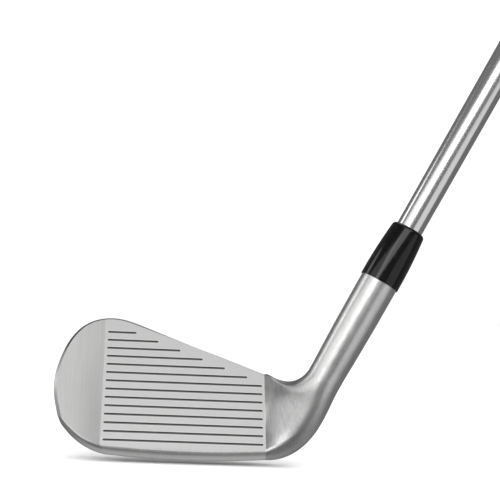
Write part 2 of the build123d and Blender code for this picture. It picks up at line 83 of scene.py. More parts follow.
class Recipe:
    """The node tree of one finish, laid out a node at a time."""

    def __init__(self, name: str) -> None:
        """Starts an empty material that ends in one shader.

        Args:
            name: the material's name.
        """
        self.material = bpy.data.materials.new(name)
        self.material.use_nodes = True
        self.tree = self.material.node_tree
        self.tree.nodes.clear()
        self.shader = self.tree.nodes.new("ShaderNodeBsdfPrincipled")
        output = self.tree.nodes.new("ShaderNodeOutputMaterial")
        self.tree.links.new(self.shader.outputs["BSDF"], output.inputs["Surface"])
        self.coordinate = self.tree.nodes.new("ShaderNodeTexCoord")

    def feed(self, socket: Socket, value: Number | Colour) -> None:
        """Links a socket or sets a constant.

        Args:
            socket: the input that is fed.
            value: another node's output, a number or a colour.
        """
        if isinstance(value, bpy.types.NodeSocket):
            self.tree.links.new(value, socket)
        elif isinstance(value, tuple) and len(value) == 3 and socket.type == "RGBA":
            socket.default_value = (*value, 1.0)
        else:
            socket.default_value = value

    def set(self, name: str, value: Number | Colour) -> None:
        """Feeds one of the shader's own inputs."""
        self.feed(self.shader.inputs[name], value)

    def place(self, turn: tuple[float, float, float] = (0, 0, 0),
              centre: Vector | None = None,
              stretch: tuple[float, float, float] = (1, 1, 1)) -> Socket:
        """Object coordinates in millimetres, centred, turned and then stretched.

        Args:
            turn: rotation in radians about X, Y and Z.
            centre: the point in millimetres that becomes the origin.
            stretch: how many times each turned axis is multiplied.

        Returns:
            The coordinate as a vector output.
        """
        shift = self.tree.nodes.new("ShaderNodeMapping")
        shift.inputs["Scale"].default_value = (PER_MM,) * 3
        shift.inputs["Location"].default_value = -(centre or Vector())
        self.tree.links.new(self.coordinate.outputs["Object"], shift.inputs["Vector"])
        rotate = self.tree.nodes.new("ShaderNodeMapping")
        rotate.inputs["Rotation"].default_value = turn
        self.tree.links.new(shift.outputs["Vector"], rotate.inputs["Vector"])
        scale = self.tree.nodes.new("ShaderNodeMapping")
        scale.inputs["Scale"].default_value = stretch
        self.tree.links.new(rotate.outputs["Vector"], scale.inputs["Vector"])
        return scale.outputs["Vector"]

    def split(self, vector: Socket) -> tuple[Socket, Socket, Socket]:
        """The three parts of a vector.

        Args:
            vector: the vector's output.

        Returns:
            Its X, Y and Z.
        """
        node = self.tree.nodes.new("ShaderNodeSeparateXYZ")
        self.tree.links.new(vector, node.inputs[0])
        return node.outputs[0], node.outputs[1], node.outputs[2]

    def math(self, operation: str, a: Number, b: Number = 0.0) -> Socket:
        """One sum of two numbers.

        Args:
            operation: Blender's name of the sum.
            a: the first number.
            b: the second number.

        Returns:
            The result's output.
        """
        node = self.tree.nodes.new("ShaderNodeMath")
        node.operation = operation
        self.feed(node.inputs[0], a)
        self.feed(node.inputs[1], b)
        return node.outputs[0]

    def product(self, *parts: Number) -> Socket:
        """Every part multiplied together.

        Args:
            parts: masks or numbers, two or more.

        Returns:
            The product's output.
        """
        total = parts[0]
        for part in parts[1:]:
            total = self.math("MULTIPLY", total, part)
        return total

    def ease(self, value: Number, start: float, end: float,
             low: float = 0.0, high: float = 1.0) -> Socket:
        """Runs smoothly from low at start to high at end.

        Args:
            value: what is measured.
            start: where the change starts.
            end: where it ends.
            low: the result before the change.
            high: the result after it.

        Returns:
            The eased number's output.
        """
        node = self.tree.nodes.new("ShaderNodeMapRange")
        node.interpolation_type = "SMOOTHSTEP"
        turned_round = start > end
        first, last = (end, start) if turned_round else (start, end)
        for name, number in (("From Min", first), ("From Max", last)):
            node.inputs[name].default_value = number
        node.inputs["To Min"].default_value = high if turned_round else low
        node.inputs["To Max"].default_value = low if turned_round else high
        self.feed(node.inputs["Value"], value)
        return node.outputs["Result"]

    def noise(self, vector: Socket, scale: float,
              detail: float = 2.0, rough: float = 0.5) -> Socket:
        """Smooth noise from 0 to 1.

        Args:
            vector: where it is read, in millimetres.
            scale: features in a millimetre.
            detail: how many finer layers it has.
            rough: how strong those layers are.

        Returns:
            The noise's output.
        """
        node = self.tree.nodes.new("ShaderNodeTexNoise")
        node.inputs["Scale"].default_value = scale
        node.inputs["Detail"].default_value = detail
        node.inputs["Roughness"].default_value = rough
        self.tree.links.new(vector, node.inputs["Vector"])
        return node.outputs[0]

    def blend(self, share: Number, a: Number, b: Number) -> Socket:
        """A number a share of the way from a to b.

        Args:
            share: 0 for a, 1 for b.
            a: the first number.
            b: the second number.

        Returns:
            The blended number's output.
        """
        node = self.tree.nodes.new("ShaderNodeMix")
        node.data_type = "FLOAT"
        self.feed(node.inputs[0], share)
        self.feed(node.inputs[2], a)
        self.feed(node.inputs[3], b)
        return node.outputs[0]

    def tint(self, share: Number, a: Colour | Socket, b: Colour | Socket) -> Socket:
        """A colour a share of the way from a to b.

        Args:
            share: 0 for a, 1 for b.
            a: the first colour.
            b: the second colour.

        Returns:
            The blended colour's output.
        """
        node = self.tree.nodes.new("ShaderNodeMix")
        node.data_type = "RGBA"
        self.feed(node.inputs[0], share)
        self.feed(node.inputs[6], a)
        self.feed(node.inputs[7], b)
        return node.outputs[2]

    def relief(self, height: Socket, depth: float, strength: float = 1.0) -> Socket:
        """A bump of a real depth.

        Args:
            height: the height map from 0 to 1.
            depth: how deep it is, in millimetres.
            strength: how much of it shows.

        Returns:
            The bent normal's output.
        """
        node = self.tree.nodes.new("ShaderNodeBump")
        node.inputs["Distance"].default_value = depth * MM
        node.inputs["Strength"].default_value = strength
        self.tree.links.new(height, node.inputs["Height"])
        return node.outputs["Normal"]

    def normal_parts(self) -> tuple[Socket, Socket, Socket]:
        """The three parts of the surface's own normal."""
        node = self.tree.nodes.new("ShaderNodeNewGeometry")
        return self.split(node.outputs["Normal"])

    def brushed(self, grain: Grain, width: float) -> Socket:
        """Long fine lines that run one way.

        Args:
            grain: which way they run.
            width: about how wide one is, in millimetres.

        Returns:
            The lines' height from 0 to 1.
        """
        length = 50.0 * width
        across, along = 1 / width, 1 / length
        if grain is Grain.UP_FACE:
            vector = self.place((LOFT, 0, 0), FACE_DATUM, (across, across, along))
        elif grain is Grain.UP_SHAFT:
            vector = self.place(UP_THE_SHAFT, None, (across, across, along))
        else:
            vector = self.place(stretch=(along, across, across))
        return self.noise(vector, 1.0, 3.0, 0.65)


@dataclass(frozen=True)
class FacePoint:
    """Where a point of the head lies, in millimetres, and how much its surface faces up."""

    along: Socket
    behind: Socket
    height: Socket
    up: Socket


@dataclass(frozen=True)
class FaceMarks:
    """Masks of the blasted panel, the score lines' floors that take painted shade, and the lips and
    borders that take a painted highlight and a smoother finish.
    """

    panel: Socket
    floor: Socket
    polish_and_painted_highlight: Socket


@dataclass(frozen=True)
class HeadSteel:
    """Cast steel of the head: satin brushed, with a blasted panel that carries the score lines.

    Lengths are in millimetres: along the club from toe to heel, up the face, and behind it.
    A span gives where a change starts and where it ends.
    """

    satin: Colour = (0.64, 0.64, 0.635)
    blasted: Colour = (0.71, 0.71, 0.705)
    # bright is both the lighter streaks of the brushing and the painted highlight on the score lines' lips
    # and the panel's borders
    bright: Colour = (0.86, 0.86, 0.85)
    # groove is painted shade: a dark grey standing in for the shade inside the score lines
    groove: Colour = (0.15, 0.15, 0.15)
    cloud: Colour = (0.42, 0.42, 0.42)
    grit: Colour = (0.5, 0.5, 0.5)
    toe_shade: Colour = (0.36, 0.36, 0.36)
    heel_shade: Colour = (0.27, 0.27, 0.27)
    edge_shade: Colour = (0.16, 0.16, 0.16)
    satin_roughness: float = 0.30
    blasted_roughness: float = 0.46
    shine_roughness: float = 0.22
    panel_toe: float = -60.3
    panel_heel: float = -3.6
    panel_low: float = -2.4
    panel_depth: Span = (0.75, 0.55)
    line_pitch: float = 3.3
    line_count: int = 14
    line_half_width: float = 0.42
    line_toe: float = -59.6
    line_heel: float = -4.4
    line_depth: Span = (0.8, 0.6)
    lip_width: Span = (0.42, 0.12)
    lip_depth: Span = (0.3, 0.1)
    short_line_first: float = -49.4
    short_line_run: float = 7.95
    toe_shade_start: Span = (-74.0, -61.0)
    toe_shade_end: Span = (-59.0, -60.0)
    toe_shade_depth: Span = (1.2, 0.6)
    heel_shade_start: Span = (-3.7, -3.5)
    heel_shade_end: Span = (14.0, 5.0)
    heel_shade_depth: Span = (9.0, 3.0)
    top_edge_facing: Span = (0.565, 0.63)
    top_edge_depth: Span = (3.4, 2.2)
    top_edge_end: Span = (-1.0, -4.0)
    barrel_start: Span = (-2.0, 16.0)
    sole_facing: Span = (-0.55, -0.8)
    fine_brush: float = 0.09
    broad_brush: float = 0.55

    def panel(self, recipe: Recipe, at: FacePoint) -> Socket:
        """Where the blasted panel lies.

        Args:
            recipe: the node tree.
            at: the point of the head.

        Returns:
            1 on the panel and 0 elsewhere.
        """
        edge, low_edge = 0.08, 0.25
        return recipe.product(
            recipe.ease(at.along, self.panel_toe - edge, self.panel_toe + edge),
            recipe.ease(at.along, self.panel_heel + edge, self.panel_heel - edge),
            recipe.ease(at.height, self.panel_low - low_edge, self.panel_low + low_edge),
            recipe.ease(at.behind, *self.panel_depth),
        )

    def lines(self, recipe: Recipe, at: FacePoint) -> tuple[Socket, Socket]:
        """Where the score lines lie, with a painted highlight along their lips.

        Args:
            recipe: the node tree.
            at: the point of the head.

        Returns:
            The floor's mask, which takes painted shade, and the lip's mask, which takes a painted
            highlight.
        """
        half, edge = self.line_half_width, 0.05
        top = float(self.line_count - 1)
        number = recipe.math("ROUND", recipe.math("DIVIDE", at.height, self.line_pitch))
        number = recipe.math("MINIMUM", recipe.math("MAXIMUM", number, 0.0), top)
        middle = recipe.math("MULTIPLY", number, self.line_pitch)
        away = recipe.math("ABSOLUTE", recipe.math("SUBTRACT", at.height, middle))
        run = recipe.math("MULTIPLY", recipe.math("SUBTRACT", top, number), self.short_line_run)
        heel = recipe.math("MINIMUM", recipe.math("ADD", run, self.short_line_first), self.line_heel)
        past = recipe.math("SUBTRACT", at.along, recipe.math("SUBTRACT", heel, half))
        before = recipe.math("SUBTRACT", self.line_toe + half, at.along)
        beyond = recipe.math("MAXIMUM", recipe.math("MAXIMUM", past, before), 0.0)
        square = recipe.math("ADD", recipe.math("POWER", away, 2.0), recipe.math("POWER", beyond, 2.0))
        distance = recipe.math("SQRT", square)
        floor = recipe.ease(distance, half + edge, half - edge)
        wide, narrow = self.lip_width
        lip = recipe.product(
            recipe.ease(distance, half + wide, half + narrow),
            recipe.ease(at.behind, *self.lip_depth),
            recipe.math("SUBTRACT", 1.0, floor),
        )
        return recipe.product(floor, recipe.ease(at.behind, *self.line_depth)), lip

    def borders(self, recipe: Recipe, at: FacePoint) -> Socket:
        """Where the panel's borders take a painted highlight, at its toe and at its heel.

        Args:
            recipe: the node tree.
            at: the point of the head.

        Returns:
            1 on the borders and 0 elsewhere.
        """
        toe = recipe.product(
            recipe.ease(at.along, self.panel_toe - 0.5, self.panel_toe - 0.12),
            recipe.ease(at.along, self.panel_toe + 0.2, self.panel_toe + 0.05),
        )
        heel = recipe.product(
            recipe.ease(at.along, self.panel_heel - 0.45, self.panel_heel - 0.1),
            recipe.ease(at.along, self.panel_heel + 0.3, self.panel_heel + 0.1),
        )
        return recipe.product(
            recipe.math("ADD", toe, heel),
            recipe.ease(at.behind, 0.6, 0.3),
            recipe.ease(at.height, -4.0, -2.5),
        )

    def marks(self, recipe: Recipe, at: FacePoint) -> FaceMarks:
        """Everything that is marked off on the face.

        Args:
            recipe: the node tree.
            at: the point of the head.

        Returns:
            The masks.
        """
        # painted highlights: the lips' and the borders' strengths, joined into one mask
        lip_highlight_share, border_highlight_share = 0.6, 0.35
        floor, lip = self.lines(recipe, at)
        lips = recipe.math("MULTIPLY", lip, lip_highlight_share)
        borders = recipe.math("MULTIPLY", self.borders(recipe, at), border_highlight_share)
        return FaceMarks(self.panel(recipe, at), floor, recipe.math("MAXIMUM", lips, borders))

    def brushing(self, recipe: Recipe, at: FacePoint) -> Socket:
        """Fine brush lines: up the face, along the hosel's barrel and along the sole.

        Args:
            recipe: the node tree.
            at: the point of the head.

        Returns:
            The lines' height from 0 to 1.
        """
        lines = recipe.blend(
            recipe.ease(at.along, *self.barrel_start),
            recipe.brushed(Grain.UP_FACE, self.fine_brush),
            recipe.brushed(Grain.UP_SHAFT, self.fine_brush),
        )
        sole = recipe.brushed(Grain.ALONG_SOLE, self.fine_brush)
        return recipe.blend(recipe.ease(at.up, *self.sole_facing), lines, sole)

    def satin_colour(self, recipe: Recipe, at: FacePoint) -> Socket:
        """The brushed steel's colour, shaded beside the panel.

        Args:
            recipe: the node tree.
            at: the point of the head.

        Returns:
            The colour's output.
        """
        broad = recipe.brushed(Grain.UP_FACE, self.broad_brush)
        cloud = recipe.noise(recipe.place(), 0.07, 3.0, 0.55)
        toe = recipe.product(
            recipe.ease(at.along, *self.toe_shade_start),
            recipe.ease(at.along, *self.toe_shade_end),
            recipe.ease(at.height, 46.0, 2.0, 0.2, 0.6),
            recipe.ease(at.behind, *self.toe_shade_depth),
        )
        heel = recipe.product(
            recipe.ease(at.along, *self.heel_shade_start),
            recipe.ease(at.along, *self.heel_shade_end),
            recipe.ease(at.behind, *self.heel_shade_depth),
            recipe.ease(broad, 0.25, 0.75, 0.7, 0.5),
        )
        colour = recipe.tint(recipe.ease(broad, 0.3, 0.72, 0.0, 0.30), self.satin, self.bright)
        colour = recipe.tint(recipe.ease(cloud, 0.35, 0.75, 0.0, 0.12), colour, self.cloud)
        colour = recipe.tint(toe, colour, self.toe_shade)
        return recipe.tint(heel, colour, self.heel_shade)

    def colour(self, recipe: Recipe, at: FacePoint, marks: FaceMarks, sand: Socket) -> Socket:
        """The whole head's colour.

        Args:
            recipe: the node tree.
            at: the point of the head.
            marks: what is marked off on the face.
            sand: the blasted panel's grain from 0 to 1.

        Returns:
            The colour's output.
        """
        edge_share, groove_shade_share = 0.8, 0.9
        top_edge = recipe.product(
            recipe.ease(at.up, *self.top_edge_facing),
            recipe.ease(at.behind, *self.top_edge_depth),
            recipe.ease(at.along, *self.top_edge_end),
            edge_share,
        )
        grainy = recipe.tint(recipe.ease(sand, 0.35, 0.7, 0.0, 0.28), self.blasted, self.grit)
        colour = recipe.tint(marks.panel, self.satin_colour(recipe, at), grainy)
        # painted highlight on the score lines' lips and the panel's borders
        colour = recipe.tint(marks.polish_and_painted_highlight, colour, self.bright)
        colour = recipe.tint(top_edge, colour, self.edge_shade)
        # painted shade in the score lines' floors
        return recipe.tint(recipe.math("MULTIPLY", marks.floor, groove_shade_share), colour, self.groove)

    def rough(self, recipe: Recipe, marks: FaceMarks, brushed: Socket, sand: Socket) -> Socket:
        """The whole head's roughness.

        Args:
            recipe: the node tree.
            marks: what is marked off on the face.
            brushed: the brush lines' height from 0 to 1.
            sand: the blasted panel's grain from 0 to 1.

        Returns:
            The roughness's output.
        """
        satin, blasted = self.satin_roughness, self.blasted_roughness
        smudge = recipe.noise(recipe.place(), 0.35, 4.0, 0.6)
        lines = recipe.ease(brushed, 0.2, 0.8, satin - 0.05, satin + 0.07)
        lines = recipe.math("ADD", lines, recipe.ease(smudge, 0.4, 0.8, 0.0, 0.05))
        grains = recipe.ease(sand, 0.2, 0.8, blasted - 0.04, blasted + 0.06)
        return recipe.blend(marks.polish_and_painted_highlight, recipe.blend(marks.panel, lines, grains), self.shine_roughness)

    def normal(self, recipe: Recipe, marks: FaceMarks, brushed: Socket, sand: Socket) -> Socket:
        """The fine relief: brush lines, and grains on the panel.

        Args:
            recipe: the node tree.
            marks: what is marked off on the face.
            brushed: the brush lines' height from 0 to 1.
            sand: the blasted panel's grain from 0 to 1.

        Returns:
            The bent normal's output.
        """
        mix = recipe.tree.nodes.new("ShaderNodeMix")
        mix.data_type = "VECTOR"
        recipe.feed(mix.inputs[0], marks.panel)
        recipe.feed(mix.inputs[4], recipe.relief(brushed, 0.006, 0.55))
        recipe.feed(mix.inputs[5], recipe.relief(sand, 0.02, 0.7))
        return mix.outputs[1]

    def material(self, name: str) -> bpy.types.Material:
        """Lays out the finish.

        Args:
            name: the material's name.

        Returns:
            The finished material.
        """
        recipe = Recipe(name)
        along, behind, height = recipe.split(recipe.place((LOFT, 0, 0), FACE_DATUM))
        at = FacePoint(along, behind, height, recipe.normal_parts()[2])
        marks = self.marks(recipe, at)
        brushed = self.brushing(recipe, at)
        sand = recipe.noise(recipe.place(), 5.0, 3.0, 0.7)
        recipe.set("Base Color", self.colour(recipe, at, marks, sand))
        recipe.set("Metallic", 1.0)
        recipe.set("Roughness", self.rough(recipe, marks, brushed, sand))
        recipe.set("Normal", self.normal(recipe, marks, brushed, sand))
        return recipe.material


@dataclass(frozen=True)
class Polished:
    """Bright plated or turned metal with faint handling marks."""

    colour: Colour
    roughness: float
    worn: float = 0.05
    dulled: float = 0.8
    grain: Grain = Grain.UP_SHAFT
    grain_depth: float = 0.0015

    def material(self, name: str) -> bpy.types.Material:
        """Lays out the finish.

        Args:
            name: the material's name.

        Returns:
            The finished material.
        """
        recipe = Recipe(name)
        place = recipe.place()
        haze = recipe.noise(place, 0.05, 4.0, 0.6)
        marks = recipe.brushed(self.grain, 0.12)
        dull = tuple(self.dulled * part for part in self.colour)
        recipe.set("Base Color", recipe.tint(recipe.ease(haze, 0.4, 0.8, 0.0, 0.35), self.colour, dull))
        recipe.set("Metallic", 1.0)
        wear = recipe.ease(haze, 0.42, 0.7, self.roughness, self.roughness + self.worn)
        recipe.set("Roughness", recipe.math("ADD", wear, recipe.ease(marks, 0.55, 0.9, 0.0, self.worn)))
        recipe.set("Normal", recipe.relief(marks, self.grain_depth, 0.6))
        return recipe.material


@dataclass(frozen=True)
class GlossPlastic:
    """Turned and buffed plastic with faint rings from the lathe."""

    colour: Colour = (0.0015, 0.0015, 0.0018)
    hazy: Colour = (0.004, 0.004, 0.0045)
    roughness: float = 0.10
    ring_stretch: tuple[float, float, float] = (0.05, 0.05, 4.0)

    def material(self, name: str) -> bpy.types.Material:
        """Lays out the finish.

        Args:
            name: the material's name.

        Returns:
            The finished material.
        """
        recipe = Recipe(name)
        rings = recipe.noise(recipe.place(UP_THE_SHAFT, None, self.ring_stretch), 1.0, 2.0)
        haze = recipe.noise(recipe.place(), 0.3, 4.0, 0.6)
        hazed = recipe.ease(haze, 0.45, 0.8, 0.0, 0.5)
        recipe.set("Base Color", recipe.tint(hazed, self.colour, self.hazy))
        recipe.set("Roughness", recipe.ease(haze, 0.35, 0.8, self.roughness, self.roughness + 0.08))
        recipe.set("Normal", recipe.relief(rings, 0.001, 0.3))
        recipe.set("Coat Weight", 0.05)
        recipe.set("Coat Roughness", 0.06)
        recipe.set("IOR", 1.42)
        return recipe.material


@dataclass(frozen=True)
class Rubber:
    """Moulded rubber with a fine pebbled skin, dusty where the hands don't reach."""

    colour: Colour = (0.016, 0.016, 0.017)
    dust: Colour = (0.055, 0.053, 0.050)
    roughness: float = 0.58
    pebble: float = 3.2

    def material(self, name: str) -> bpy.types.Material:
        """Lays out the finish.

        Args:
            name: the material's name.

        Returns:
            The finished material.
        """
        recipe = Recipe(name)
        place = recipe.place()
        pebbles = recipe.noise(place, self.pebble, 2.0, 0.5)
        cloud = recipe.noise(place, 0.04, 4.0, 0.65)
        dusty = recipe.ease(cloud, 0.4, 0.75, 0.0, 0.6)
        recipe.set("Base Color", recipe.tint(dusty, self.colour, self.dust))
        recipe.set("Roughness", recipe.ease(cloud, 0.3, 0.8, self.roughness + 0.12, self.roughness - 0.04))
        recipe.set("Normal", recipe.relief(pebbles, 0.06, 0.6))
        recipe.set("Specular IOR Level", 0.4)
        return recipe.material


@dataclass(frozen=True)
class Plain:
    """Cast, foamed or creped stuff with a speckle of its own."""

    colour: Colour
    speckle: Colour
    roughness: float
    size: float = 1.5
    depth: float = 0.05
    metallic: float = 0.0

    def material(self, name: str) -> bpy.types.Material:
        """Lays out the finish.

        Args:
            name: the material's name.

        Returns:
            The finished material.
        """
        recipe = Recipe(name)
        grains = recipe.noise(recipe.place(), self.size, 3.0, 0.6)
        recipe.set("Base Color", recipe.tint(recipe.ease(grains, 0.35, 0.7), self.colour, self.speckle))
        recipe.set("Metallic", self.metallic)
        recipe.set("Roughness", recipe.ease(grains, 0.3, 0.8, self.roughness, self.roughness + 0.12))
        recipe.set("Normal", recipe.relief(grains, self.depth, 0.5))
        return recipe.material


@dataclass(frozen=True)
class Foil:
    """A dark satin foil band with two bright edge rules."""

    start: float
    end: float
    colour: Colour = (0.10, 0.115, 0.14)
    light: Colour = (0.14, 0.155, 0.18)
    rule: Colour = (0.75, 0.75, 0.76)
    rule_width: float = 1.2
    inset: float = 3.0

    def material(self, name: str) -> bpy.types.Material:
        """Lays out the finish.

        Args:
            name: the material's name.

        Returns:
            The finished material.
        """
        recipe = Recipe(name)
        _, _, up = recipe.split(recipe.place(UP_THE_SHAFT))
        middle = (self.start + self.end) / 2
        out = recipe.math("ABSOLUTE", recipe.math("SUBTRACT", up, middle))
        reach = (self.end - self.start) / 2 - self.inset
        edge, inner = 0.1, reach - self.rule_width
        rule = recipe.product(recipe.ease(out, inner, inner + edge), recipe.ease(out, reach + edge, reach))
        weave = recipe.brushed(Grain.UP_SHAFT, 0.15)
        tone = recipe.tint(recipe.ease(weave, 0.3, 0.7), self.colour, self.light)
        recipe.set("Base Color", recipe.tint(rule, tone, self.rule))
        recipe.set("Metallic", 0.85)
        recipe.set("Roughness", recipe.ease(weave, 0.2, 0.8, 0.26, 0.36))
        recipe.set("Normal", recipe.relief(weave, 0.004, 0.5))
        return recipe.material


def dress(node: str, material: bpy.types.Material) -> None:
    """Gives a CAD node its finish.

    Args:
        node: the node's name.
        material: the finish.
    """
    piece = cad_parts[node]
    piece.data.materials.clear()
    piece.data.materials.append(material)
    LOG.info("%s is dressed in %s", node, material.name)


@dataclass
class Ringed:
    """A closed piece modelled ring by ring up the shaft's axis."""

    name: str
    slot: Slot
    sides: int
    stations: list[tuple[float, float]]
    piece: bpy.types.Object | None = field(default=None, init=False)

    def begin(self) -> None:
        """Adds the first ring and opens it for editing."""
        bpy.ops.object.select_all(action="DESELECT")
        distance, radius = self.stations[0]
        bpy.ops.mesh.primitive_circle_add(
            vertices=self.sides, radius=radius * MM, location=(0, 0, distance * MM))
        self.piece = bpy.context.object
        self.piece.name = self.name
        self.piece.data.name = self.name
        bpy.ops.object.transform_apply(location=True, rotation=True, scale=True)
        bpy.ops.object.mode_set(mode="EDIT")
        bpy.ops.mesh.select_mode(type="VERT")
        bpy.ops.mesh.select_all(action="SELECT")

    def raise_rings(self) -> None:
        """Extrudes the open ring through every station, then closes the shape on its first ring."""
        stations = self.stations + self.stations[:1]
        for (low, narrow), (high, wide) in zip(stations, stations[1:]):
            rise = (0, 0, (high - low) * MM)
            bpy.ops.mesh.extrude_region_move(TRANSFORM_OT_translate={"value": rise})
            share = wide / narrow
            bpy.ops.transform.resize(value=(share, share, 1), center_override=(0, 0, high * MM))
        bpy.ops.mesh.select_all(action="SELECT")
        bpy.ops.mesh.remove_doubles(threshold=MERGE)
        bpy.ops.mesh.normals_make_consistent(inside=False)

    def pick_faces(self, wanted: Callable[[float, float, float], bool]) -> int:
        """Selects the faces that a test wants.

        Args:
            wanted: a test of the distance up the axis, the radius and the turn of a face's middle.

        Returns:
            How many faces are selected.
        """
        bpy.ops.mesh.select_mode(type="FACE")
        bpy.ops.mesh.select_all(action="DESELECT")
        shape = bmesh.from_edit_mesh(self.piece.data)
        count = 0
        for face in shape.faces:
            middle = face.calc_center_median()
            turn = math.atan2(middle.y, middle.x) / (2 * math.pi) % 1.0
            face.select_set(wanted(middle.z / MM, math.hypot(middle.x, middle.y) / MM, turn))
            count += face.select
        bmesh.update_edit_mesh(self.piece.data)
        return count

    def finish(self, levels: int, material: bpy.types.Material, node: str) -> None:
        """Smooths the piece, leans it along the shaft and puts it in the node's place.

        Args:
            levels: how many times it is subdivided.
            material: its finish.
            node: the CAD node that it stands for.
        """
        bpy.ops.object.mode_set(mode="OBJECT")
        if levels:
            soften = self.piece.modifiers.new("soften", "SUBSURF")
            soften.levels = levels
            soften.render_levels = levels
            bpy.ops.object.modifier_apply(modifier=soften.name)
        self.piece.rotation_euler = (0, math.pi / 2 - LIE, 0)
        bpy.ops.object.transform_apply(location=True, rotation=True, scale=True)
        bpy.ops.object.shade_smooth_by_angle(angle=SHARP)
        self.piece.data.materials.clear()
        self.piece.data.materials.append(material)
        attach(self.piece, "root")
        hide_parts(node)
        LOG.info("%s has %d faces", self.name, len(self.piece.data.polygons))


@dataclass
class Head:
    """The steel head with its plate, seal, screw and what is hidden inside it."""

    steel: HeadSteel = field(default_factory=HeadSteel)

    def dress(self) -> None:
        """Gives every piece of the head its finish."""
        steel = self.steel.material("satin_and_blasted_steel")
        dress("head_body", steel)
        dress("face_plate", steel)
        screw = Polished((0.50, 0.50, 0.51), 0.28, 0.06)
        dress("port_screw", screw.material("turned_screw_steel"))
        seal = Plain((0.018, 0.018, 0.020), (0.032, 0.032, 0.034), 0.42, 2.2, 0.03)
        dress("sole_slot_insert", seal.material("moulded_slot_seal"))
        weight = Plain((0.28, 0.28, 0.30), (0.38, 0.37, 0.36), 0.5, 3.0, 0.06, 1.0)
        dress("toe_weight", weight.material("sintered_weight"))
        core = Plain((0.80, 0.73, 0.50), (0.88, 0.83, 0.66), 0.8, 1.4, 0.3)
        dress("foam_core", core.material("core_foam"))
        bond = Plain((0.52, 0.42, 0.22), (0.60, 0.52, 0.32), 0.35, 0.8, 0.03)
        dress("hosel_bond", bond.material("cured_epoxy"))


@dataclass
class ShaftGroup:
    """The chromed shaft with its ferrule, band, tip weight and grip tape."""

    tip: float = 40.5
    tip_radius: float = 4.55
    tip_taper: float = 0.0041
    tip_end: float = 250.0
    tip_wall: float = 0.9
    butt_radius: float = 7.62
    steps: int = 15
    step_spacing: float = 31.0
    step_ramp: float = 0.8
    wall: float = 0.42
    end: float = 935.0
    band_start: float = 584.0
    band_end: float = 646.0
    sides: int = 96

    def build_shaft(self) -> None:
        """Models the tube with its steps, wall and bore."""
        low = self.tip_radius + self.tip_taper * (self.tip_end - self.tip)
        rise = (self.butt_radius - low) / self.steps
        chamfer, ease_run, ease_rise, gap = 0.25, 0.15, 0.01, 0.05
        outside = [(self.tip + chamfer, self.tip_radius), (self.tip_end, low)]
        for i in range(self.steps):
            start = self.tip_end + i * self.step_spacing
            ramp_end = start + self.step_ramp
            radius = low + i * rise
            outside += [(start + ease_run, radius + ease_rise),
                        (ramp_end - ease_run, radius + rise - ease_rise), (ramp_end, radius + rise)]
            if i < self.steps - 1:
                outside += [(start + self.step_spacing - gap, radius + rise)]
        outside += [(self.end, self.butt_radius)]
        last_step = self.tip_end + self.steps * self.step_spacing
        bore = [(self.end, self.butt_radius - self.wall), (last_step, self.butt_radius - self.wall),
                (self.tip_end, low - self.wall)]
        first = [(self.tip, self.tip_radius - self.tip_wall), (self.tip, self.tip_radius - chamfer)]
        tube = Ringed("stepped_shaft", Slot.SHAFT, self.sides, first + outside + bore)
        tube.begin()
        tube.raise_rings()
        chrome = Polished((0.78, 0.78, 0.78), 0.17, 0.02, grain_depth=0.0005)
        tube.finish(0, chrome.material("polished_chrome"), "shaft")

    def dress(self) -> None:
        """Gives the CAD pieces on the shaft their finish."""
        dress("ferrule", GlossPlastic().material("buffed_black_plastic"))
        dress("shaft_band", Foil(self.band_start, self.band_end).material("dark_foil"))
        pin = Plain((0.45, 0.33, 0.14), (0.58, 0.44, 0.2), 0.4, 2.0, 0.04, 1.0)
        dress("tip_weight", pin.material("turned_brass"))
        tape = Plain((0.70, 0.64, 0.50), (0.78, 0.74, 0.64), 0.75, 1.2, 0.12)
        dress("grip_tape", tape.material("creped_tape"))


